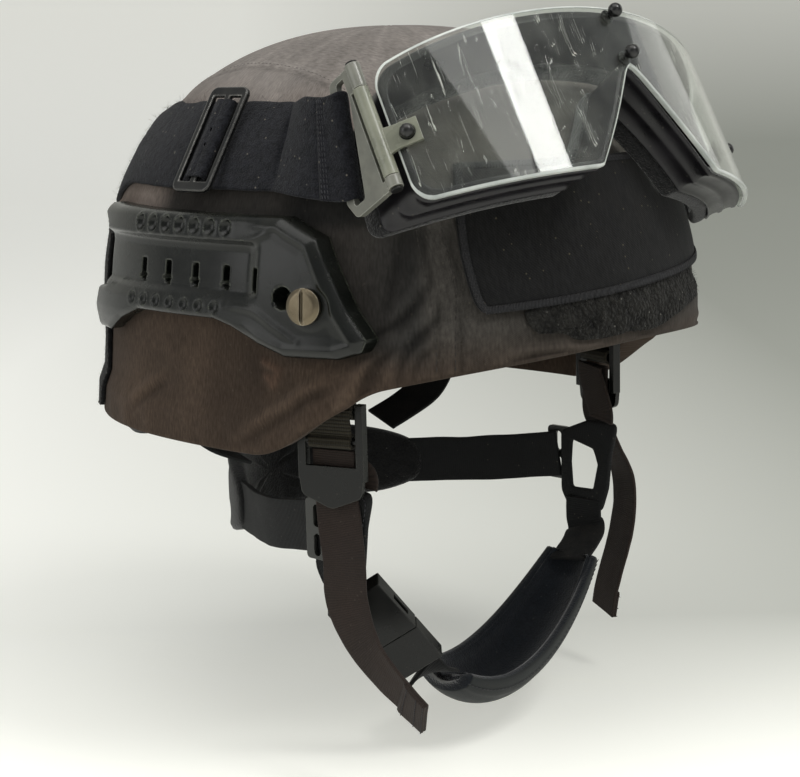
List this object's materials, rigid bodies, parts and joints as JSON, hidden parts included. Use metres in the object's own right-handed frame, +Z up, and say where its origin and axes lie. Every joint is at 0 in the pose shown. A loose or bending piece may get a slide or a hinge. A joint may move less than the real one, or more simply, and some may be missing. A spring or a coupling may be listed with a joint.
{
  "type": "ballistic helmet",
  "caption": "Covered ballistic helmet with side accessory rails, tilting clear goggles on an elastic strap, comfort pads and a buckled chin harness with nape pad.",
  "frame": {"origin": "the head seat: on the centre line, level with the front brim, midway between the ears", "axes": "+X to the wearer's left, -Y to the front of the helmet, +Z up to the crown"},
  "size_m": [0.2548, 0.3122, 0.3143],
  "materials": {
    "composite": "rough aramid laminate painted olive",
    "edge_rubber": "matt",
    "cover_cloth": "faded ripstop twill, black gone brown-grey",
    "loop_pile": "worn loop pile",
    "patch_cloth": "woven face with an overlocked border, left bare",
    "pad_cloth": "brushed moisture-wicking cloth over foam",
    "hook_tape": "hook tape",
    "rail_plastic": "satin moulded nylon",
    "screw_steel": "worn steel",
    "dark_steel": "dark coated steel",
    "lens_clear": "clear polycarbonate, scratched",
    "stud_plastic": "moulded",
    "frame_rubber": "soft matt frame",
    "foam": "fleece-faced foam",
    "clip_plastic": "olive-grey moulded",
    "loop_plastic": "satin grey moulded",
    "pin_steel": "black",
    "elastic": "napped elastic webbing",
    "worn_metal": "black paint, edges worn bright",
    "webbing": "ribbed grosgrain webbing",
    "tail_webbing": "smooth brown-black webbing",
    "lock_plastic": "moulded acetal",
    "nape_cloth": "padded suede cloth",
    "cup_cloth": "moulded padded cup"
  },
  "bodies": {
    "helmet": {"ballistic_shell": "composite", "edge_trim": "edge_rubber", "fabric_cover": "cover_cloth", "rear_loop_panel": "loop_pile", "front_patch": "patch_cloth", "front_loop_field": "loop_pile", "crown_pad": "pad_cloth", "front_pad": "pad_cloth", "rear_pad": "pad_cloth", "side_pad_front_right": "pad_cloth", "side_pad_rear_right": "pad_cloth", "side_pad_front_left": "pad_cloth", "side_pad_rear_left": "pad_cloth", "hook_discs": "hook_tape", "accessory_rail_right": "rail_plastic", "accessory_rail_left": "rail_plastic", "rail_screws": "screw_steel", "post_nuts": "dark_steel", "tail_screws": "dark_steel", "goggle_strap": "elastic", "strap_runs": "elastic", "front_hanger_right": "webbing", "front_hanger_left": "webbing", "chin_webbing_right": "tail_webbing", "chin_webbing_left": "tail_webbing", "junction_right": "webbing", "junction_left": "webbing", "rear_hanger_right": "webbing", "rear_hanger_left": "webbing", "nape_pad": "nape_cloth", "rear_strap_right": "webbing", "rear_strap_left": "webbing", "rear_adjuster_right": "lock_plastic", "rear_adjuster_left": "lock_plastic", "buckle_socket": "lock_plastic", "cup_strap_left": "webbing"},
    "goggles": {"goggle_lens": "lens_clear", "lens_studs": "stud_plastic", "goggle_frame": "frame_rubber", "goggle_foam": "foam", "end_clip_right": "clip_plastic", "end_clip_left": "clip_plastic", "plate_pins": "pin_steel"},
    "strap_loop_right": {"loop_plate_right": "loop_plastic", "strap_fold_right": "elastic"},
    "strap_loop_left": {"loop_plate_left": "loop_plastic", "strap_fold_left": "elastic"},
    "strap_slider_right": {"tri_glide_right": "worn_metal", "glide_fold_right": "elastic"},
    "strap_slider_left": {"tri_glide_left": "worn_metal", "glide_fold_left": "elastic"},
    "web_lock_right": {"ladder_lock_right": "lock_plastic", "lock_wrap_right": "webbing"},
    "web_lock_left": {"ladder_lock_left": "lock_plastic", "lock_wrap_left": "webbing"},
    "chin_set": {"buckle_plug": "lock_plastic", "cup_strap_right": "webbing", "chin_cup": "cup_cloth"}
  },
  "joints": [
    {"name": "goggles_tilt", "type": "hinge", "parent": "helmet", "child": "goggles", "pos_m": [0, 0, 0], "axis": [1, 0, 0], "range_deg": [0, 35]},
    {"name": "loop_plate_right_swing", "type": "hinge", "parent": "goggles", "child": "strap_loop_right", "pos_m": [-0.10546, -0.08725, 0.09297], "axis": [0.1289, 0.5193, 0.8448], "range_deg": [0, 12]},
    {"name": "loop_plate_left_swing", "type": "hinge", "parent": "goggles", "child": "strap_loop_left", "pos_m": [0.09962, -0.10881, 0.07493], "axis": [-0.1289, -0.5193, -0.8448], "range_deg": [0, 12]},
    {"name": "tri_glide_right_slide", "type": "slide", "parent": "helmet", "child": "strap_slider_right", "axis": [-0.0349, -0.9994, 0], "range_m": [-0.008, 0.008]},
    {"name": "tri_glide_left_slide", "type": "slide", "parent": "helmet", "child": "strap_slider_left", "axis": [0.0349, -0.9994, 0], "range_m": [-0.008, 0.008]},
    {"name": "ladder_lock_right_swing", "type": "hinge", "parent": "helmet", "child": "web_lock_right", "pos_m": [-0.0954, -0.0487, -0.0249], "axis": [-0.2924, 0.9563, 0], "range_deg": [0, 6]},
    {"name": "ladder_lock_left_swing", "type": "hinge", "parent": "helmet", "child": "web_lock_left", "pos_m": [0.0936, -0.0482, -0.0149], "axis": [-0.2924, -0.9563, 0], "range_deg": [0, 6]},
    {"name": "chin_buckle_release", "type": "slide", "parent": "helmet", "child": "chin_set", "axis": [0.5718, -0.2462, -0.7826], "range_m": [0, 0.018]}
  ]
}
